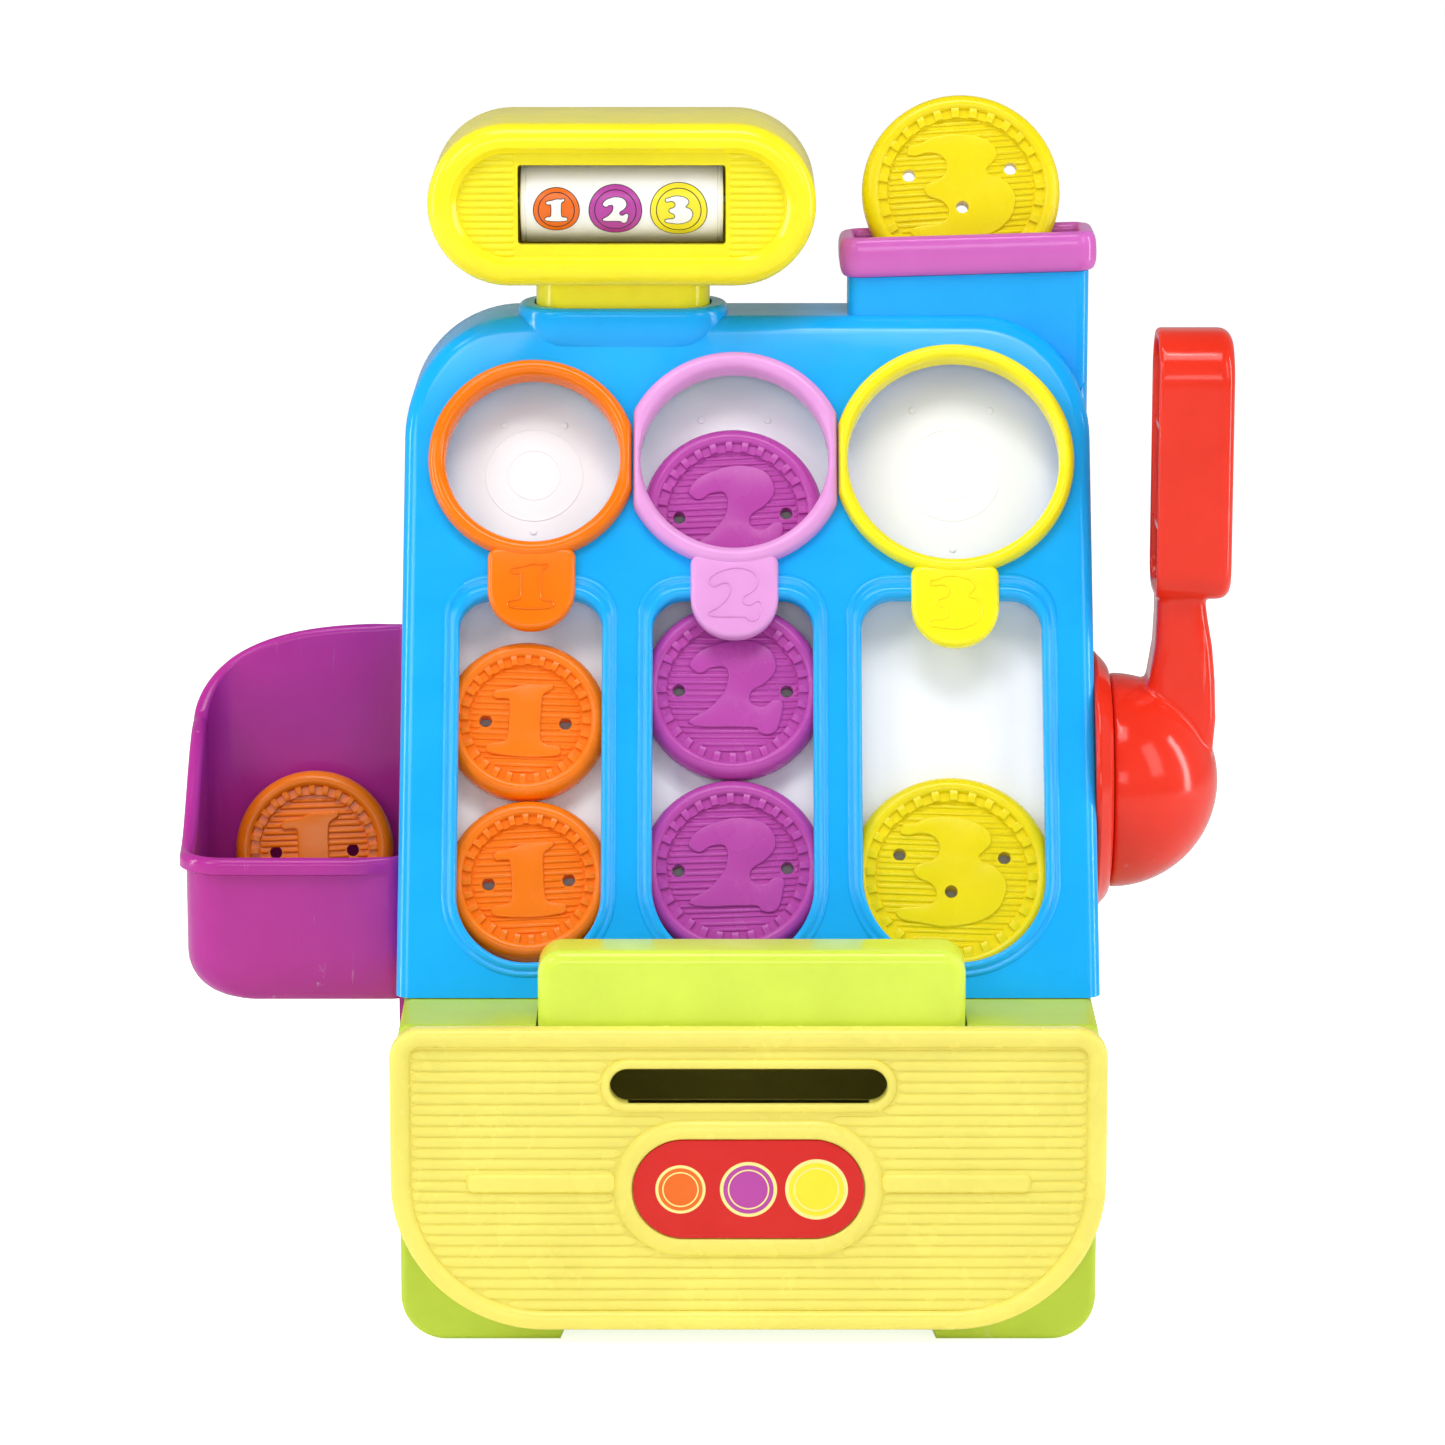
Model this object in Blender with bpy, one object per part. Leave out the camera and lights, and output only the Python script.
"""Toy cash register: a sloped three-column coin body on a drawer base, with a number drum and a crank.

Metres, +Z up, the front faces -Y. X is measured here from the body's centre plane; main() then moves
everything by MIDDLE_X, so that the origin is the middle of the whole toy's footprint, on the table.
"""

import math

import bmesh
import bpy
from mathutils import Matrix, Vector

# ---------------------------------------------------------------- driving sizes
GAP = 0.0003            # clearance between two pieces that touch
WALL = 0.0024           # moulded wall thickness
FRONT, REAR = -0.088, 0.088
MIDDLE_X = 0.0130       # the body's centre plane, from the middle of the footprint

BASE_HALF, BASE_TOP, BASE_FRONT = 0.1004, 0.0943, -0.0800
FEET_HEIGHT, FOOT_WIDTH, BASE_CORNER = 0.0048, 0.046, 0.013
BASE_WALL = 0.0032

DRAWER_HALF, DRAWER_Z0, DRAWER_Z1 = 0.1026, 0.0052, 0.0952
DRAWER_TOP_R, DRAWER_BOTTOM_R = 0.009, 0.044
SLOT_Z, SLOT_HALF, SLOT_R = 0.0782, 0.0397, 0.0052
BADGE_Z, BADGE_HALF, BADGE_R = 0.0477, 0.0333, 0.0148
DRAWER_BOX_TOP, DRAWER_BOX_REAR, BOX_WALL = 0.072, 0.076, 0.002
BAY_CORNER = 0.0345     # the drawer bay's lower corners, hidden behind the drawer front's own

BODY_HALF, BODY_Z0, BODY_Z1, BODY_REAR = 0.1022, 0.0946, 0.279, 0.0834
BODY_CORNER = 0.034
SLOPE = math.radians(28.8)
FACE_Y0 = -0.0508       # the sloped face's bottom edge
SEAM_DEPTH = 0.0166     # how far behind the face the two shells part, measured along Y

RING_S = 0.165          # ring centres, up the slope
RING_X = (-0.0641, -0.0039, 0.0615)
RING_INNER = (0.0260, 0.0280, 0.0315)
RING_OUTER = (0.0312, 0.0337, 0.0361)
RING_MEET = (-0.0343, 0.0269)
RING_HEIGHT = 0.0048
TAB_HALF, TAB_END_S = 0.0130, (0.1114, 0.1087, 0.1062)
COLUMN_X = (-0.0642, -0.0044, 0.0604)
WINDOW_HALF = (0.0212, 0.0238, 0.0268)
WINDOW_S0, WINDOW_S1, WINDOW_TOP_R = 0.0105, 0.1218, 0.0095
COIN_D = (0.0485, 0.0543, 0.0600)
COIN_SHIFT = ((0.0002, -0.0011), (0.0004, 0.0004, 0.0004), (-0.0002,))    # across, from the column's centre
COIN_THICK = 0.009
COIN_FLOOR_S = (0.0127, 0.0132, 0.0084)
COIN_N = -0.0078        # the column coins' middle plane, behind the face
CHUTE_COIN, CHUTE_LEAN = (0.0652, 0.0729, 0.3139), math.radians(20.6)
TRAY_COIN, TRAY_LEAN = (-0.1324, 0.0540, 0.1135), math.radians(14)
PLATE_N, PLATE_THICK = -0.0133, 0.002
PLATE_S0, PLATE_S1 = 0.012, 0.2012

TOWER_X0, TOWER_X1, TOWER_Y0, TOWER_Y1 = 0.0304, 0.1030, 0.0545, 0.0775
TOWER_TOP, RIM_TILT = 0.2914, math.radians(1.7)
RIM_OUT, RIM_HEIGHT = 0.0025, 0.0121
FLAP_Z = 0.2812

COLLAR_X, COLLAR_HALF, COLLAR_TOP = -0.0375, 0.0316, 0.2822
COLLAR_Y0, COLLAR_Y1 = 0.0452, 0.0800
NECK_HALF, NECK_Y0, NECK_Y1, NECK_BOTTOM = 0.0262, 0.0482, 0.0772, 0.268

HEAD_X, HEAD_HALF, HEAD_Z0, HEAD_Z1 = -0.0375, 0.058, 0.290, 0.3387
HEAD_Y0, HEAD_Y1, HEAD_SEAM = 0.037, 0.088, 0.0625
HEAD_WALL = 0.0026
RECESS_HALF_X, RECESS_HALF_Z, RECESS_DEPTH = 0.0493, 0.0156, 0.0035
DISPLAY_HALF_X, DISPLAY_HALF_Z = 0.0310, 0.0119
DRUM_R, DRUM_Y, AXLE_R = 0.013, 0.0549, 0.0016

CRANK_Y, CRANK_Z = 0.017, 0.1441
FLANGE_R, FLANGE_X0, FLANGE_X1 = 0.0387, 0.1025, 0.1080
DOME_R, DOME_X = 0.0324, 0.1089
SHAFT_R, SHAFT_X0 = 0.0045, 0.0685
GRIP_X0, GRIP_X1, GRIP_Z0, GRIP_Z1, GRIP_HALF_Y = 0.1206, 0.1437, 0.2010, 0.2808, 0.0165

TRAY_X0, TRAY_X1, TRAY_Y0, TRAY_Y1 = -0.1677, -0.1026, -0.0080, 0.0700
TRAY_Z0, TRAY_RIM_Z, TRAY_BACK_Z, TRAY_SILL_Z = 0.0812, 0.126, 0.1812, 0.112
TRAY_SIDE_Z = 0.155     # the side wall, where it meets the back wall
TRAY_WALL, TRAY_LIP = 0.0024, 0.0020

BUTTON_X, BUTTON_HALF, BUTTON_Z0, BUTTON_Z1 = 0.0009, 0.0612, 0.0915, 0.1163
BUTTON_Y0, BUTTON_Y1 = -0.0813, -0.0622
SPRING_X, SPRING_Y = 0.048, -0.0716
SHELF_Z = 0.0800

GATE_S = 0.0062         # the coin gate's top surface, up the slope, under the first two columns
BARREL_R, PIN_R = 0.0022, 0.0010
BELL_X, BELL_Y, BELL_Z, BELL_R = -0.0415, 0.040, 0.114, 0.020
HAMMER_X, HAMMER_Z = -0.0015, 0.106

MATERIALS = {
    "blue": ((0.045, 0.40, 0.80), 0.28, 0.0),
    "lime": ((0.62, 0.80, 0.10), 0.30, 0.0),
    "pale_yellow": ((0.95, 0.87, 0.14), 0.33, 0.0),
    "yellow": ((0.98, 0.90, 0.07), 0.28, 0.0),
    "orange": ((0.89, 0.18, 0.01), 0.32, 0.0),
    "purple": ((0.42, 0.08, 0.36), 0.32, 0.0),
    "pink": ((0.70, 0.26, 0.64), 0.30, 0.0),
    "red": ((0.72, 0.06, 0.03), 0.25, 0.0),
    "white": ((0.86, 0.88, 0.93), 0.35, 0.0),
    "badge_red": ((0.60, 0.02, 0.01), 0.30, 0.0),
    "steel": ((0.60, 0.61, 0.63), 0.30, 1.0),
    "brass": ((0.80, 0.62, 0.25), 0.25, 1.0),
}


# ---------------------------------------------------------------- scene and mesh helpers
def clear_scene():
    for obj in list(bpy.data.objects):
        bpy.data.objects.remove(obj, do_unlink=True)


def material(name):
    found = bpy.data.materials.get(name)
    if found:
        return found
    colour, roughness, metallic = MATERIALS[name]
    made = bpy.data.materials.new(name)
    made.use_nodes = True
    shader = made.node_tree.nodes["Principled BSDF"]
    shader.inputs["Base Color"].default_value = (*colour, 1.0)
    shader.inputs["Roughness"].default_value = roughness
    shader.inputs["Metallic"].default_value = metallic
    return made


def add_object(name, mesh_builder, colour):
    """One closed mesh object from a bmesh, its faces turned outwards and its round parts smooth."""
    bmesh.ops.recalc_face_normals(mesh_builder, faces=mesh_builder.faces)
    mesh = bpy.data.meshes.new(name)
    mesh_builder.to_mesh(mesh)
    mesh_builder.free()
    mesh.shade_smooth()
    mesh.set_sharp_from_angle(angle=math.radians(35))
    obj = bpy.data.objects.new(name, mesh)
    bpy.context.scene.collection.objects.link(obj)
    if colour:
        mesh.materials.append(material(colour))
    return obj


def arc(cx, cy, radius, start, end, steps):
    """Points of an arc from start to end degrees, both ends included."""
    angles = [math.radians(start + (end - start) * i / steps) for i in range(steps + 1)]
    return [(cx + radius * math.cos(a), cy + radius * math.sin(a)) for a in angles]


def round_box(x0, y0, x1, y1, r, steps=5):
    """A rectangle's outline with its corners rounded: r is one radius, or (bottom, top)."""
    low, high = r if isinstance(r, tuple) else (r, r)
    points = arc(x0 + low, y0 + low, low, 180, 270, steps)
    points += arc(x1 - low, y0 + low, low, 270, 360, steps)
    points += arc(x1 - high, y1 - high, high, 0, 90, steps)
    points += arc(x0 + high, y1 - high, high, 90, 180, steps)
    kept = []
    for point in points:
        if not kept or math.dist(point, kept[-1]) > 1e-6:
            kept.append(point)
    if math.dist(kept[0], kept[-1]) < 1e-6:
        kept.pop()
    return kept


def loft(name, loops, colour=None):
    """A solid through loops of 3-D points, each with as many points as the others, closed at both ends."""
    build = bmesh.new()
    rings = [[build.verts.new(point) for point in loop] for loop in loops]
    for below, above in zip(rings, rings[1:]):
        for i in range(len(below)):
            j = (i + 1) % len(below)
            build.faces.new((below[i], below[j], above[j], above[i]))
    build.faces.new(rings[0])
    build.faces.new(rings[-1])
    return add_object(name, build, colour)


def prism_x(name, outline, x0, x1, colour=None):
    """A (y, z) outline extruded along X."""
    return loft(name, [[(x, y, z) for y, z in outline] for x in (x0, x1)], colour)


def prism_y(name, outline, y0, y1, colour=None):
    """An (x, z) outline extruded along Y."""
    return loft(name, [[(x, y, z) for x, z in outline] for y in (y0, y1)], colour)


def prism_z(name, outline, z0, z1, colour=None):
    """An (x, y) outline extruded along Z."""
    return loft(name, [[(x, y, z) for x, y in outline] for z in (z0, z1)], colour)


def box(name, low, high, colour=None):
    outline = [(low[0], low[1]), (high[0], low[1]), (high[0], high[1]), (low[0], high[1])]
    return prism_z(name, outline, low[2], high[2], colour)


def turned(name, profile, matrix, colour=None, segments=24):
    """A profile of (radius, height) turned about Z, then placed. Its ends lie on the axis, or it closes."""
    build = bmesh.new()
    rings = []
    for radius, height in profile:
        if radius < 1e-7:
            rings.append([build.verts.new((0, 0, height))])
            continue
        angles = [2 * math.pi * k / segments for k in range(segments)]
        circle = [(radius * math.cos(a), radius * math.sin(a), height) for a in angles]
        rings.append([build.verts.new(point) for point in circle])
    pairs = list(zip(rings, rings[1:]))
    if len(rings[0]) > 1:
        pairs.append((rings[-1], rings[0]))
    for first, second in pairs:
        for k in range(segments):
            m = (k + 1) % segments
            corners = [ring[i % len(ring)] for ring, i in ((first, k), (first, m), (second, m), (second, k))]
            unique = [v for i, v in enumerate(corners) if v not in corners[:i]]
            if len(unique) > 2:
                build.faces.new(unique)
    build.transform(matrix)
    return add_object(name, build, colour)


def combine(obj, other, operation):
    """Applies an exact Boolean to obj and removes the other object."""
    step = obj.modifiers.new(operation.lower(), "BOOLEAN")
    step.operation = operation
    step.solver = "EXACT"
    step.object = other
    graph = bpy.context.evaluated_depsgraph_get()
    mesh = bpy.data.meshes.new_from_object(obj.evaluated_get(graph))
    obj.modifiers.clear()
    obj.data = mesh
    bpy.data.objects.remove(other, do_unlink=True)
    mesh.shade_smooth()
    mesh.set_sharp_from_angle(angle=math.radians(35))
    return obj


def cut(obj, *cutters):
    for cutter in cutters:
        combine(obj, cutter, "DIFFERENCE")
    return obj


def join(obj, *others):
    for other in others:
        combine(obj, other, "UNION")
    return obj


def copy_of(obj, name):
    """A second object with its own copy of the mesh."""
    made = bpy.data.objects.new(name, obj.data.copy())
    bpy.context.scene.collection.objects.link(made)
    return made


def paint(obj, colour):
    obj.data.materials.clear()
    obj.data.materials.append(material(colour))
    return obj


def set_origin(obj, point):
    """Moves the object's origin to a world point and leaves its shape where it is."""
    point = Vector(point)
    obj.data.transform(Matrix.Translation(obj.location - point))
    obj.location = point
    return obj


# ---------------------------------------------------------------- the sloped face's own frame
def face_matrix(x=0.0, s=0.0, n=0.0):
    """Local X is across, local Y is up the slope and local Z is out of the face."""
    up = Vector((0, math.sin(SLOPE), math.cos(SLOPE)))
    out = Vector((0, -math.cos(SLOPE), math.sin(SLOPE)))
    place = Vector((x, FACE_Y0, BODY_Z0)) + s * up + n * out
    turn = Matrix((Vector((1, 0, 0)), up, out)).transposed().to_4x4()
    return Matrix.Translation(place) @ turn


def face_prism(name, outline, n0, n1, colour=None):
    """An (x, s) outline extruded from depth n0 to n1, measured out of the face."""
    frame = face_matrix()
    loops = [[frame @ Vector((x, s, n)) for x, s in outline] for n in (n0, n1)]
    return loft(name, loops, colour)


def face_y(z):
    return FACE_Y0 + (z - BODY_Z0) * math.tan(SLOPE)


# ---------------------------------------------------------------- base and drawer
def base_housing():
    left, right = -BASE_HALF, BASE_HALF
    outline = arc(left + BASE_CORNER, BASE_CORNER, BASE_CORNER, 180, 270, 6)
    outline += [(left + FOOT_WIDTH, 0), (left + FOOT_WIDTH + 0.002, FEET_HEIGHT)]
    outline += [(right - FOOT_WIDTH - 0.002, FEET_HEIGHT), (right - FOOT_WIDTH, 0)]
    outline += arc(right - BASE_CORNER, BASE_CORNER, BASE_CORNER, 270, 360, 6)
    outline += arc(right - 0.003, BASE_TOP - 0.003, 0.003, 0, 90, 3)
    outline += arc(left + 0.003, BASE_TOP - 0.003, 0.003, 90, 180, 3)
    base = prism_y("base_housing", outline, BASE_FRONT, REAR, "lime")
    inside = round_box(left + BASE_WALL, 0.0074, right - BASE_WALL, BASE_TOP - 0.003, (BAY_CORNER, 0.002), 6)
    cut(base, prism_y("cavity", inside, FRONT - 0.01, REAR - BASE_WALL))
    notch_low = (BUTTON_X - BUTTON_HALF - 0.0006, FRONT - 0.01, BASE_TOP - 0.01)
    notch_high = (BUTTON_X + BUTTON_HALF + 0.0006, BUTTON_Y1 + 0.0006, BASE_TOP + 0.01)
    cut(base, box("notch", notch_low, notch_high))
    drop_low = (-0.094, -0.0490, BASE_TOP - 0.01)
    drop_high = (0.094, -0.012, BASE_TOP + 0.01)
    cut(base, box("coin_drop", drop_low, drop_high))
    for side in (-1, 1):
        x = BUTTON_X + side * SPRING_X
        low, high = (x - 0.006, -0.0780, SHELF_Z), (x + 0.006, -0.0585, SHELF_Z + 0.0025)
        join(base, box("shelf", low, high))
        low, high = (x - 0.006, -0.0610, SHELF_Z + 0.001), (x + 0.006, -0.0585, BASE_TOP - 0.001)
        join(base, box("shelf_web", low, high))
    for x, y in base_screw_places():
        cut(base, turned("screw_hole", [(0, 0), (0.0019, 0), (0.0019, 0.03), (0, 0.03)],
                         Matrix.Translation((x, y, BASE_TOP - 0.01)), segments=12))
    return base


def base_screw_places():
    return [(side * 0.0920, y) for side in (-1, 1) for y in (0.0, 0.072)]


def drawer():
    left, right = -DRAWER_HALF, DRAWER_HALF
    outline = round_box(left, DRAWER_Z0, right, DRAWER_Z1, (DRAWER_BOTTOM_R, DRAWER_TOP_R), 8)
    front = prism_y("drawer_front", outline, FRONT, FRONT + 0.0058, "pale_yellow")
    slot = round_box(-SLOT_HALF, SLOT_Z - SLOT_R, SLOT_HALF, SLOT_Z + SLOT_R, SLOT_R * 0.999, 6)
    cut(front, prism_y("slot", slot, FRONT - 0.01, FRONT + 0.02))
    pocket = round_box(-BADGE_HALF - GAP, BADGE_Z - BADGE_R - GAP,
                       BADGE_HALF + GAP, BADGE_Z + BADGE_R + GAP, BADGE_R, 6)
    cut(front, prism_y("pocket", pocket, FRONT - 0.01, FRONT + 0.0010))
    badge = round_box(-BADGE_HALF, BADGE_Z - BADGE_R, BADGE_HALF, BADGE_Z + BADGE_R,
                      BADGE_R * 0.999, 6)
    sticker = prism_y("drawer_badge", badge, FRONT + 0.0002, FRONT + 0.0007, "badge_red")
    low = (-0.0945, FRONT + 0.0061, 0.0082)
    high = (0.0945, DRAWER_BOX_REAR, DRAWER_BOX_TOP)
    outline = round_box(low[0], low[2], high[0], high[2], (BAY_CORNER - 0.003, 0.001), 6)
    tray = prism_y("drawer_box", outline, low[1], high[1], "pale_yellow")
    inner = round_box(low[0] + BOX_WALL, low[2] + BOX_WALL, high[0] - BOX_WALL, high[2] + 0.02,
                      (BAY_CORNER - 0.003 - BOX_WALL, 0.001), 6)
    cut(tray, prism_y("inside", inner, low[1] + BOX_WALL, high[1] - BOX_WALL))
    for piece in (front, sticker, tray):
        set_origin(piece, (0, FRONT, 0.05))


# ---------------------------------------------------------------- body shells
def body_loop(inset, y_of, low=BODY_Z0):
    """The body's front-view outline, set in by inset, laid on the surface y_of(z)."""
    x0, x1 = -BODY_HALF + inset, BODY_HALF - inset
    outline = round_box(x0, low, x1, BODY_Z1 - inset, (1e-6, BODY_CORNER - inset), 8)
    return [(x, y_of(z), z) for x, z in outline]


def whole_body():
    """The body as one hollow shell with its tower and collar, before it is parted."""
    edge = 0.0032
    outer = loft("body", [
        body_loop(edge * 0.9, lambda z: face_y(z)),
        body_loop(edge * 0.3, lambda z: face_y(z) + edge * 0.25),
        body_loop(0.0, lambda z: face_y(z) + edge),
        body_loop(0.0, lambda z: BODY_REAR),
    ], "blue")
    tower = round_box(TOWER_X0, TOWER_Y0, TOWER_X1, TOWER_Y1, 0.0035, 3)
    join(outer, prism_z("tower", tower, BODY_Z1 - 0.03, TOWER_TOP + 0.004))
    collar = round_box(COLLAR_X - COLLAR_HALF, COLLAR_Y0, COLLAR_X + COLLAR_HALF, COLLAR_Y1, 0.012, 6)
    join(outer, prism_z("collar", collar, BODY_Z1 - 0.024, COLLAR_TOP))
    inner = loft("inner", [
        body_loop(WALL, lambda z: face_y(z) + WALL / math.cos(SLOPE), BODY_Z0 - 0.02),
        body_loop(WALL, lambda z: BODY_REAR - WALL, BODY_Z0 - 0.02),
    ])
    cut(outer, inner)
    shaft = round_box(TOWER_X0 + 0.002, TOWER_Y0 + 0.002, TOWER_X1 - 0.002, TOWER_Y1 - 0.002, 0.002, 3)
    cut(outer, prism_z("tower_inside", shaft, BODY_Z1 - 0.02, TOWER_TOP + 0.02))
    lid = box("tower_top", (TOWER_X0 - 0.03, 0.03, 0), (TOWER_X1 + 0.03, 0.12, 0.03))
    lid.data.transform(Matrix.Translation((-(TOWER_X0 + TOWER_X1) / 2, 0, 0)))
    lid.data.transform(Matrix.Rotation(-RIM_TILT, 4, "Y"))
    lid.data.transform(Matrix.Translation(((TOWER_X0 + TOWER_X1) / 2, 0, TOWER_TOP)))
    cut(outer, lid)
    neck = round_box(COLLAR_X - NECK_HALF - 0.0005, NECK_Y0 - 0.0005,
                     COLLAR_X + NECK_HALF + 0.0005, NECK_Y1 + 0.0005, 0.006, 4)
    cut(outer, prism_z("neck_hole", neck, BODY_Z1 - 0.03, BODY_Z1 + 0.02))
    return outer


def shell_openings(body):
    for x, half in zip(COLUMN_X, WINDOW_HALF):
        outline = round_box(x - half, WINDOW_S0, x + half, WINDOW_S1, (half * 0.97, WINDOW_TOP_R), 7)
        cut(body, face_prism("window", outline, -0.006, 0.01))
    for x, inner in zip(RING_X, RING_INNER):
        hole = arc(x, RING_S, inner + 0.0016, 0, 360, 32)[:-1]
        cut(body, face_prism("ring_hole", hole, -0.006, 0.01))
    exit_hole = round_box(0.0440, TRAY_SILL_Z + 0.001, 0.0680, 0.1760, 0.004, 3)
    cut(body, prism_x("coin_exit", exit_hole, -BODY_HALF - 0.01, -BODY_HALF + 0.01))
    bearing = arc(CRANK_Y, CRANK_Z, SHAFT_R + 0.0005, 0, 360, 16)[:-1]
    cut(body, prism_x("bearing", bearing, BODY_HALF - 0.01, BODY_HALF + 0.01))


def seam_outline(shift):
    """The (y, z) half space in front of the seam: parallel to the face, then straight up the tower."""
    low, high = 0.05, 0.36
    y_top = face_y(BODY_Z1) + SEAM_DEPTH + shift
    y_low = face_y(low) + SEAM_DEPTH + shift
    return [(-0.2, low), (y_low, low), (y_top, BODY_Z1), (y_top, high), (-0.2, high)]


def shells():
    body = whole_body()
    shell_openings(body)
    rear = copy_of(body, "rear_shell")
    body.name = "front_shell"
    combine(body, prism_x("seam", seam_outline(0), -0.3, 0.3), "INTERSECT")
    cut(rear, prism_x("seam", seam_outline(GAP), -0.3, 0.3))
    lying = Matrix.Rotation(math.radians(90), 4, "X")
    for x, z in shell_screw_places():
        place = Matrix.Translation((x, BODY_REAR + 0.01, z)) @ lying
        cut(rear, turned("boss_hole", [(0, 0), (0.0019, 0), (0.0019, 0.02), (0, 0.02)], place, segments=12))
    paint(body, "blue")
    paint(rear, "blue")


def shell_screw_places():
    return [(-0.090, 0.120), (0.090, 0.120), (-0.090, 0.235), (0.090, 0.235)]


def channel_plate():
    """The white plate behind the columns, with the two ribs that part them."""
    half = BODY_HALF - WALL - 0.0006
    outline = round_box(-half, PLATE_S0, half, PLATE_S1, (0.002, 0.024), 5)
    plate = face_prism("channel_plate", outline, PLATE_N - PLATE_THICK, PLATE_N, "white")
    front, play = -WALL - 0.0004, 0.0012
    lefts = [x - diameter / 2 - play for x, diameter in zip(COLUMN_X, COIN_D)]
    rights = [x + diameter / 2 + play for x, diameter in zip(COLUMN_X, COIN_D)]
    for x0, x1 in zip([-half + 0.0005, *rights], [*lefts, half - 0.0005]):
        rib = [(x0, 0.014), (x1, 0.014), (x1, 0.128), (x0, 0.128)]
        join(plate, face_prism("rib", rib, PLATE_N - 0.001, front))
    return plate


# ---------------------------------------------------------------- rings, chute rim and tray
def ring_bezel(index):
    x, inner, outer = RING_X[index], RING_INNER[index], RING_OUTER[index]
    lines = (-1.0, *RING_MEET, 1.0)
    low, high = lines[index] + 0.0002, lines[index + 1] - 0.0002
    outline = [(min(max(px, low), high), ps) for px, ps in arc(x, RING_S, outer, 0, 360, 40)[:-1]]
    bezel = face_prism(f"ring_bezel_{index + 1}", outline, GAP, RING_HEIGHT)
    tab = round_box(x - TAB_HALF, TAB_END_S[index], x + TAB_HALF, RING_S - inner - 0.001,
                    (TAB_HALF * 0.9, 0.001), 6)
    join(bezel, face_prism("tab", tab, GAP, 0.0036))
    join(bezel, face_prism("skirt", arc(x, RING_S, inner + 0.0012, 0, 360, 40)[:-1], -0.0032, GAP + 0.001))
    cut(bezel, face_prism("hole", arc(x, RING_S, inner, 0, 360, 40)[:-1], -0.01, 0.02))
    return paint(bezel, ("orange", "pink", "yellow")[index])


def chute_rim():
    outer = round_box(TOWER_X0 - RIM_OUT, TOWER_Y0 - RIM_OUT,
                      TOWER_X1 + RIM_OUT, TOWER_Y1 + RIM_OUT, 0.0065, 5)
    wall = 0.0026
    inner = round_box(TOWER_X0 + wall, TOWER_Y0 + wall, TOWER_X1 - wall, TOWER_Y1 - wall, 0.004, 4)
    rim = prism_z("chute_rim", outer, GAP, GAP + RIM_HEIGHT, "pink")
    cut(rim, prism_z("mouth", inner, -0.01, 0.03))
    middle = Vector(((TOWER_X0 + TOWER_X1) / 2, 0, 0))
    rim.data.transform(Matrix.Translation(-middle))
    rim.data.transform(Matrix.Rotation(-RIM_TILT, 4, "Y"))
    rim.data.transform(Matrix.Translation(middle + Vector((0, 0, TOWER_TOP))))
    return rim


def tray_top(x, y):
    """Height of the tray's wall: low in front, swept up to the back wall, cut down beside the body."""
    if x > TRAY_X1 - 0.0015 and TRAY_Y0 + 0.003 < y < TRAY_Y1 - 0.0015:
        return TRAY_SILL_Z
    along = min(max((y - TRAY_Y0 - 0.010) / (TRAY_Y1 - TRAY_Y0 - 0.022), 0.0), 1.0)
    side = TRAY_RIM_Z + (TRAY_SIDE_Z - TRAY_RIM_Z) * along * along * (3 - 2 * along)
    if y < TRAY_Y1 - 0.012:
        return side
    across = min((x - TRAY_X0) / (TRAY_X1 - TRAY_X0), 1.0)
    return side + (TRAY_BACK_Z - side) * math.sqrt(max(1 - (1 - across) ** 2.8, 0.0))


def tray_outline(inset):
    """The tray's plan: big corners away from the body, nearly square ones beside it."""
    x0, y0, x1, y1 = TRAY_X0 + inset, TRAY_Y0 + inset, TRAY_X1 - inset, TRAY_Y1 - inset
    big, small = 0.012 - inset, 0.0045 - inset
    points = arc(x0 + big, y0 + big, big, 180, 270, 5)
    points += arc(x1 - small, y0 + small, small, 270, 360, 3)
    points += arc(x1 - small, y1 - small, small, 0, 90, 3)
    count = 6
    points += [(x1 - small + (x0 + big - x1 + small) * i / count, y1) for i in range(1, count)]
    points += arc(x0 + big, y1 - big, big, 90, 180, 5)
    points += [(x0, y1 - big + (y0 + big - y1 + big) * i / 5) for i in range(1, 5)]
    return points


def coin_tray():
    """A cup lofted from rings: out and up the outside, over the lip, down the inside."""
    plan = tray_outline(0.0)
    loops = []
    for inset, rise in ((0.012, 0.0), (0.0048, 0.0025), (0.0008, 0.0095), (0.0, 0.017)):
        loops.append([(x, y, TRAY_Z0 + rise) for x, y in tray_outline(inset * 0.35)])
    tops = [tray_top(x, y) for x, y in plan]
    outside = [tray_grow(x, y, TRAY_LIP) for x, y in plan]
    loops.append([(x, y, top - 0.006) for (x, y), top in zip(plan, tops)])
    loops.append([(x, y, top - 0.0035) for (x, y), top in zip(outside, tops)])
    loops.append([(x, y, top) for (x, y), top in zip(outside, tops)])
    inner = tray_outline(TRAY_WALL)
    loops.append([(x, y, top) for (x, y), top in zip(inner, tops)])
    loops.append([(x, y, TRAY_Z0 + 0.012) for x, y in inner])
    loops.append([(x, y, TRAY_Z0 + TRAY_WALL) for x, y in tray_outline(TRAY_WALL + 0.0015)])
    tray = loft("coin_tray", loops, "purple")
    low = (TRAY_X1 - 0.0016, TRAY_Y0 + 0.006, TRAY_Z0 - 0.009)
    high = (TRAY_X1 - GAP, TRAY_Y1 - 0.006, TRAY_Z0 + 0.012)
    return paint(join(tray, box("hook", low, high)), "purple")


def tray_grow(x, y, lip):
    """Pushes a plan point out by the lip, but not towards the body."""
    if x > TRAY_X1 - 0.006:
        return (x, y)
    out_x = -lip if x < TRAY_X0 + 0.012 else 0.0
    out_y = -lip if y < TRAY_Y0 + 0.012 else (lip if y > TRAY_Y1 - 0.012 else 0.0)
    scale = 0.75 if out_x and out_y else 1.0
    return (x + out_x * scale, y + out_y * scale)


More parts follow.
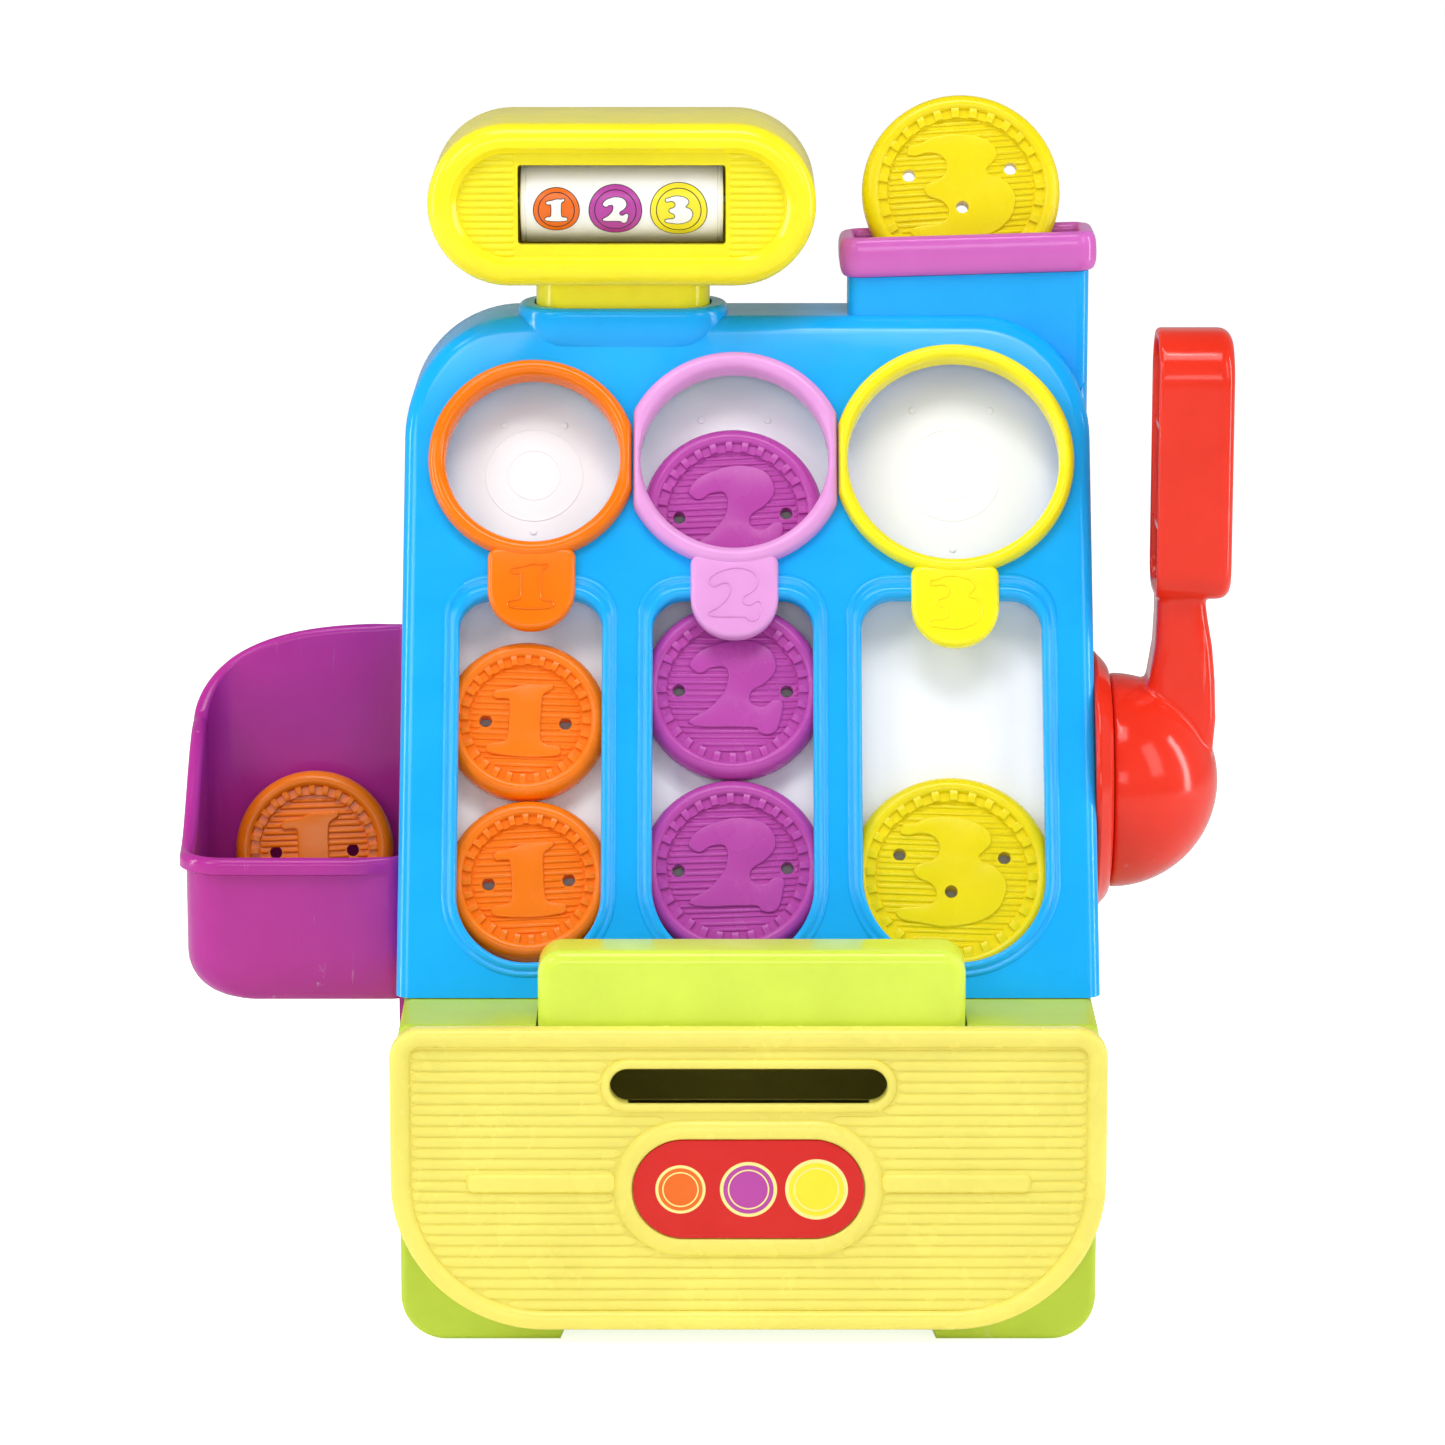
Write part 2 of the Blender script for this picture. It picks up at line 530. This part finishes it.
# ---------------------------------------------------------------- head and drum
def stadium(half_x, half_z, steps=10):
    radius = half_z
    right = arc(half_x - radius, 0, radius, -90, 90, steps)
    return right + arc(-half_x + radius, 0, radius, 90, 270, steps)


def head_loop(inset, y):
    middle_z = (HEAD_Z0 + HEAD_Z1) / 2
    half_z = (HEAD_Z1 - HEAD_Z0) / 2 - inset
    return [(HEAD_X + x, y, middle_z + z) for x, z in stadium(HEAD_HALF - inset, half_z)]


def head():
    edge = 0.0045
    steps = ((edge, 0.0), (edge * 0.3, edge * 0.3), (0.0, edge))
    loops = [head_loop(inset, HEAD_Y0 + y) for inset, y in steps]
    loops += [head_loop(inset, HEAD_Y1 - y) for inset, y in reversed(steps)]
    whole = loft("head_front_shell", loops, "yellow")
    neck = round_box(HEAD_X - NECK_HALF, NECK_Y0, HEAD_X + NECK_HALF, NECK_Y1, 0.005, 4)
    join(whole, prism_z("neck", neck, NECK_BOTTOM, HEAD_Z0 + 0.004))
    floor = HEAD_Y0 + RECESS_DEPTH + HEAD_WALL
    cut(whole, loft("inside", [head_loop(HEAD_WALL, floor), head_loop(HEAD_WALL, HEAD_Y1 - HEAD_WALL)]))
    hollow = round_box(HEAD_X - NECK_HALF + 0.0022, NECK_Y0 + 0.0022, HEAD_X + NECK_HALF - 0.0022,
                       NECK_Y1 - 0.0022, 0.003, 3)
    cut(whole, prism_z("neck_inside", hollow, NECK_BOTTOM - 0.01, HEAD_Z0 + 0.006))
    middle_z = (HEAD_Z0 + HEAD_Z1) / 2
    recess = [(HEAD_X + x, middle_z + z) for x, z in stadium(RECESS_HALF_X, RECESS_HALF_Z)]
    cut(whole, prism_y("recess", recess, HEAD_Y0 - 0.01, HEAD_Y0 + RECESS_DEPTH))
    display = round_box(HEAD_X - DISPLAY_HALF_X, middle_z - DISPLAY_HALF_Z,
                        HEAD_X + DISPLAY_HALF_X, middle_z + DISPLAY_HALF_Z, 0.001, 2)
    cut(whole, prism_y("display", display, HEAD_Y0 - 0.01, HEAD_Y0 + 0.012))
    rear = copy_of(whole, "head_rear_shell")
    combine(whole, box("half", (-0.3, -0.1, 0.2), (0.3, HEAD_SEAM, 0.4)), "INTERSECT")
    cut(rear, box("half", (-0.3, -0.1, 0.2), (0.3, HEAD_SEAM + GAP, 0.4)))
    for side in (-1, 1):
        x = HEAD_X + side * 0.0340
        web = [(DRUM_Y - 0.005, middle_z - 0.006), (HEAD_Y1 - 0.002, middle_z - 0.006),
               (HEAD_Y1 - 0.002, middle_z + 0.006), (DRUM_Y - 0.005, middle_z + 0.006)]
        join(rear, prism_x("bracket", web, x - 0.0012, x + 0.0012))
    hole = arc(DRUM_Y, middle_z, AXLE_R + 0.0004, 0, 360, 12)[:-1]
    cut(rear, prism_x("axle_hole", hole, HEAD_X - 0.045, HEAD_X + 0.045))
    paint(whole, "yellow")
    paint(rear, "yellow")


def along_x(x, y, z):
    """A matrix that lays a turned shape's axis along +X, with its zero at (x, y, z)."""
    return Matrix.Translation((x, y, z)) @ Matrix.Rotation(math.radians(90), 4, "Y")


def display_drum():
    half, bore = 0.0304, AXLE_R + 0.0004
    profile = [(bore, -half), (DRUM_R - 0.0008, -half), (DRUM_R, -half + 0.0008)]
    profile += [(DRUM_R, half - 0.0008), (DRUM_R - 0.0008, half), (bore, half)]
    middle_z = (HEAD_Z0 + HEAD_Z1) / 2
    drum = turned("display_drum", profile, along_x(HEAD_X, DRUM_Y, middle_z), "white", 36)
    set_origin(drum, (HEAD_X, DRUM_Y, middle_z))
    rod = [(0, -0.0375), (AXLE_R, -0.0375), (AXLE_R, 0.0375), (0, 0.0375)]
    turned("display_axle", rod, along_x(HEAD_X, DRUM_Y, middle_z), "steel", 12)


# ---------------------------------------------------------------- crank
def crank():
    flange = [(SHAFT_R + 0.0005, 0), (FLANGE_R - 0.001, 0), (FLANGE_R, 0.0008)]
    flange += [(FLANGE_R - 0.0014, 0.0028), (FLANGE_R - 0.0044, FLANGE_X1 - FLANGE_X0)]
    flange += [(SHAFT_R + 0.0005, FLANGE_X1 - FLANGE_X0)]
    turned("crank_flange", flange, along_x(FLANGE_X0, CRANK_Y, CRANK_Z), "red", 32)
    start = FLANGE_X1 + GAP - DOME_X
    profile = [(0, start), (DOME_R, start)]
    profile += [(r, h) for h, r in arc(0, 0, DOME_R, 90, 0, 9)]
    profile[-1] = (0, DOME_R)
    handle = turned("crank_handle", profile, along_x(DOME_X, CRANK_Y, CRANK_Z), "red", 28)
    arm = []
    for z, x0, x1, half in ((CRANK_Z, 0.1125, 0.1380, 0.012), (0.170, 0.1180, 0.1400, 0.0115),
                            (0.186, 0.1212, 0.1384, 0.0110), (GRIP_Z0 + 0.004, 0.1214, 0.1355, 0.0105)):
        arm.append([(x, CRANK_Y + y, z) for x, y in round_box(x0, -half, x1, half, 0.004, 3)])
    join(handle, loft("arm", arm))
    grip = round_box(CRANK_Y - GRIP_HALF_Y, GRIP_Z0, CRANK_Y + GRIP_HALF_Y, GRIP_Z1, (0.009, 0.0145), 6)
    inner = round_box(CRANK_Y - GRIP_HALF_Y + 0.0035, GRIP_Z0 + 0.0035, CRANK_Y + GRIP_HALF_Y - 0.0035,
                      GRIP_Z1 - 0.0035, (0.0065, 0.011), 6)
    loops = [[(GRIP_X0, y, z) for y, z in grip], [(GRIP_X1 - 0.0035, y, z) for y, z in grip],
             [(GRIP_X1, y, z) for y, z in inner]]
    join(handle, loft("grip", loops))
    pocket = round_box(CRANK_Y - GRIP_HALF_Y + 0.0026, GRIP_Z0 + 0.0030, CRANK_Y + GRIP_HALF_Y - 0.0026,
                       GRIP_Z1 - 0.0026, (0.007, 0.012), 6)
    cut(handle, prism_x("pocket", pocket, GRIP_X0 - 0.01, GRIP_X1 - 0.0032))
    for z in (0.222, 0.252):
        low = (GRIP_X0 + 0.0008, CRANK_Y - GRIP_HALF_Y + 0.001, z - 0.0009)
        high = (GRIP_X1 - 0.002, CRANK_Y + GRIP_HALF_Y - 0.001, z + 0.0009)
        join(handle, box("rib", low, high))
    paint(handle, "red")
    end = FLANGE_X1 - SHAFT_X0
    shaft = turned("crank_shaft", [(0, 0), (SHAFT_R, 0), (SHAFT_R, end), (0, end)],
                   along_x(SHAFT_X0, CRANK_Y, CRANK_Z), "white", 16)
    lobe = arc(CRANK_Y, CRANK_Z, 0.010, 150, 390, 12) + arc(CRANK_Y, CRANK_Z + 0.0145, 0.004, 60, 120, 3)
    cam = prism_x("crank_cam", lobe, SHAFT_X0 + 0.0060, SHAFT_X0 + 0.0115, "white")
    bore = arc(CRANK_Y, CRANK_Z, SHAFT_R + GAP, 0, 360, 16)[:-1]
    cut(cam, prism_x("bore", bore, SHAFT_X0, SHAFT_X0 + 0.03))
    for piece in (handle, shaft, cam):
        set_origin(piece, (SHAFT_X0, CRANK_Y, CRANK_Z))
    coil("crank_spring", (SHAFT_X0 + 0.0140, CRANK_Y, CRANK_Z), "X", 0.0078, 0.0010, 5, 0.0160, "steel")


def coil(name, start, axis, radius, wire, turns, length, colour):
    """A helical spring as a bevelled curve, its axis along X or Z from start."""
    per_turn = 12
    curve = bpy.data.curves.new(name, "CURVE")
    curve.dimensions = "3D"
    curve.bevel_depth = wire / 2
    curve.bevel_resolution = 0
    curve.use_fill_caps = True
    spline = curve.splines.new("POLY")
    count = turns * per_turn + 1
    spline.points.add(count - 1)
    for i in range(count):
        angle = 2 * math.pi * i / per_turn
        a, b, c = radius * math.cos(angle), radius * math.sin(angle), length * i / (count - 1)
        place = (c, a, b) if axis == "X" else (a, b, c)
        spline.points[i].co = (*place, 1.0)
    obj = bpy.data.objects.new(name, curve)
    obj.location = start
    bpy.context.scene.collection.objects.link(obj)
    curve.materials.append(material(colour))
    return obj


# ---------------------------------------------------------------- mechanism inside
def trap_flap():
    y0, y1 = TOWER_Y0 + 0.0030, TOWER_Y1 - 0.0030
    low, high = (TOWER_X0 + 0.0032, y0, FLAP_Z - 0.0009), (TOWER_X1 - 0.0032, y1, FLAP_Z + 0.0009)
    flap = box("trap_flap", low, high, "white")
    pivot = (y1 - 0.0023, FLAP_Z)
    hinge_barrel(flap, pivot, low[0], high[0])
    pin_along_x("trap_pin", pivot, TOWER_X0 + 0.0024, TOWER_X1 - 0.0024)
    set_origin(flap, (TOWER_X0, *pivot))


def hinge_barrel(flap, pivot, x0, x1):
    """Adds a bored barrel along X at the (y, z) pivot."""
    join(flap, prism_x("barrel", arc(*pivot, BARREL_R, 0, 360, 12)[:-1], x0, x1))
    cut(flap, prism_x("bore", arc(*pivot, PIN_R + 0.0003, 0, 360, 10)[:-1], x0 - 0.01, x1 + 0.01))
    paint(flap, "white")


def pin_along_x(name, pivot, x0, x1):
    return prism_x(name, arc(*pivot, PIN_R, 0, 360, 10)[:-1], x0, x1, "steel")


def coin_ramp():
    """The sloping race that carries a coin from the tower across to the tray."""
    x0, z0, x1, z1 = -0.0994, 0.1195, 0.0990, 0.2150
    y0, y1, thick, guard = 0.0560, 0.0800, 0.0022, 0.016
    floor = [(x0, z0 - thick), (x1, z1 - thick), (x1, z1), (x0, z0)]
    wall = [(x0, z0 - thick), (x1, z1 - thick), (x1, z1 + guard), (x0, z0 + guard)]
    race = prism_y("coin_ramp", floor, y0, y1, "white")
    join(race, prism_y("guard", wall, y0 - 0.001, y0 + 0.0012))
    return race


def coin_gate():
    """The flap that the coin columns stand on, a shelf square to the face, hinged along its back edge.

    Its pads stop short of the front, so that their corners clear the shell as it drops."""
    n0, n1, pad_n1 = PLATE_N + 0.0006, -WALL - 0.0006, -0.0081
    half = 0.0925
    strip = [(-half, GATE_S - 0.0022), (half, GATE_S - 0.0022),
             (half, GATE_S), (-half, GATE_S)]
    gate = face_prism("coin_gate", strip, n0, n1, "white")
    for x, diameter, floor in list(zip(COLUMN_X, COIN_D, COIN_FLOOR_S))[:2]:
        half_pad = diameter / 2 - 0.004
        pad = [(x - half_pad, GATE_S - 0.001), (x + half_pad, GATE_S - 0.001),
               (x + half_pad, floor - GAP), (x - half_pad, floor - GAP)]
        join(gate, face_prism("pad", pad, n0 + 0.0008, pad_n1))
    place = face_matrix(0, GATE_S - 0.0011, n0 + 0.0012).translation
    hinge_barrel(gate, (place.y, place.z), -half, half)
    pin_along_x("gate_pin", (place.y, place.z), -half - 0.0008, half + 0.0008)
    return set_origin(gate, place)


def open_button():
    y0, y1 = BUTTON_Y0, BUTTON_Y1
    x0, x1 = BUTTON_X - BUTTON_HALF, BUTTON_X + BUTTON_HALF
    top = BUTTON_Z1
    outline = round_box(x0, BUTTON_Z0, x1, top, (0.0012, 0.0065), 5)
    inset = round_box(x0 + 0.003, BUTTON_Z0, x1 - 0.003, top - 0.003, (0.0012, 0.005), 5)
    loops = [[(x, y0, z) for x, z in inset], [(x, y0 + 0.003, z) for x, z in outline],
             [(x, y1 - 0.003, z) for x, z in outline], [(x, y1, z) for x, z in inset]]
    button = loft("open_button", loops, "lime")
    hollow = round_box(x0 + 0.0055, BUTTON_Z0 - 0.01, x1 - 0.0055, top - 0.0028, (0.001, 0.004), 4)
    cut(button, prism_y("hollow", hollow, y0 + 0.0035, y1 - 0.0030))
    set_origin(button, (BUTTON_X, (y0 + y1) / 2, BUTTON_Z0))
    for side, name in ((-1, "button_spring_l"), (1, "button_spring_r")):
        start = (BUTTON_X + side * SPRING_X, SPRING_Y, SHELF_Z + 0.0025 + 0.0009)
        length = top - 0.0028 - 0.0009 - start[2]
        coil(name, start, "Z", 0.0042, 0.0009, 6, length, "steel")


def bell():
    place = Matrix.Translation((BELL_X, BELL_Y, BELL_Z))
    outer = [(r, h) for r, h in arc(0, 0, BELL_R, 0, 90, 5)]
    inner = [(r, h) for r, h in arc(0, 0, BELL_R - 0.0012, 90, 0, 5)]
    outer[-1], inner[0] = (0.0023, BELL_R), (0.0023, BELL_R - 0.0012)
    turned("bell_dome", outer + inner, place, "brass", 20)
    post = [(0, -0.0140), (0.0060, -0.0140), (0.0060, -0.0115), (0.0020, -0.0115), (0.0020, 0.0178)]
    post += [(0.0020, 0.0208), (0.0036, 0.0212), (0.0036, 0.0230), (0, 0.0238)]
    turned("bell_post", post, place, "steel", 12)
    bell_hammer()


def bell_hammer():
    """The striker on its cross pin, and the bracket that carries it and the bell's post."""
    x, y, z = HAMMER_X, BELL_Y, HAMMER_Z
    hammer = box("bell_hammer", (x - 0.0024, y - 0.003, z - 0.0035), (x + 0.0024, y + 0.003, z + 0.022))
    join(hammer, box("knob", (x - 0.0160, y - 0.0025, z + 0.0165), (x + 0.001, y + 0.0025, z + 0.0215)))
    top = BASE_TOP + 0.0053
    bracket = box("bell_bracket", (BELL_X - 0.014, y - 0.011, BASE_TOP + GAP), (x + 0.010, y + 0.011, top))
    for side in (-1, 1):
        middle = y + side * 0.0048
        low, high = (x - 0.004, middle - 0.001, top - 0.0006), (x + 0.004, middle + 0.001, z + 0.004)
        join(bracket, box("ear", low, high))
    hole = [(x + a, z + b) for a, b in arc(0, 0, PIN_R + 0.0003, 0, 360, 10)[:-1]]
    for piece in (hammer, bracket):
        cut(piece, prism_y("bore", hole, y - 0.02, y + 0.02))
        paint(piece, "white")
    rod = [(x + a, z + b) for a, b in arc(0, 0, PIN_R, 0, 360, 10)[:-1]]
    prism_y("hammer_pin", rod, y - 0.0065, y + 0.0065, "steel")
    set_origin(hammer, (x, y, z))


# ---------------------------------------------------------------- fasteners and coins
def screw(name, matrix):
    """A small pan-head screw, head at the zero plane and shank down its local -Z."""
    shank = [(0, -0.0095), (0.0013, -0.0085), (0.0013, 0.0)]
    head_part = [(0.0030, 0.0), (0.0028, 0.0012), (0.0016, 0.0019), (0, 0.0021)]
    return turned(name, shank + head_part, matrix, "steel", 12)


def screws():
    for index, (x, y) in enumerate(base_screw_places()):
        screw(f"base_screw_{index + 1}", Matrix.Translation((x, y, BASE_TOP - 0.003 - GAP))
              @ Matrix.Rotation(math.pi, 4, "X"))
    for index, (x, z) in enumerate(shell_screw_places()):
        screw(f"shell_screw_{index + 1}", Matrix.Translation((x, BODY_REAR + GAP, z))
              @ Matrix.Rotation(math.radians(-90), 4, "X"))


def coin(name, size, matrix):
    """A chunky coin: a fat rolled rim around a sunk floor on both faces."""
    r, t = COIN_D[size] / 2, COIN_THICK / 2
    floor, rim = t - 0.0024, r - 0.0075
    half = [(0, floor), (rim, floor), (rim + 0.0008, t), (r - 0.0026, t), (r, t * 0.4)]
    profile = half + [(radius, -height) for radius, height in reversed(half)]
    made = turned(name, profile, matrix, ("orange", "purple", "yellow")[size], 24)
    return set_origin(made, matrix.translation)


def coins():
    for size in range(3):
        count = (2, 3, 1)[size]
        for k in range(count):
            s = COIN_FLOOR_S[size] + COIN_D[size] * (k + 0.5) + 0.0004 * k
            x = COLUMN_X[size] + COIN_SHIFT[size][k]
            coin(f"coin_{size + 1}_{'abc'[k]}", size, face_matrix(x, s, COIN_N))
    coin("coin_3_chute", 2, standing_coin(CHUTE_COIN, CHUTE_LEAN))
    coin("coin_1_tray", 0, standing_coin(TRAY_COIN, TRAY_LEAN))


def standing_coin(place, lean):
    """A coin on its edge at place, its top leaning back by lean."""
    upright = Matrix.Rotation(math.radians(90), 4, "X")
    return Matrix.Translation(place) @ Matrix.Rotation(-lean, 4, "X") @ upright


def main():
    clear_scene()
    base_housing()
    drawer()
    shells()
    channel_plate()
    for index in range(3):
        ring_bezel(index)
    chute_rim()
    coin_tray()
    head()
    display_drum()
    crank()
    trap_flap()
    coin_ramp()
    coin_gate()
    open_button()
    bell()
    screws()
    coins()
    for obj in bpy.data.objects:
        obj.location.x += MIDDLE_X


main()
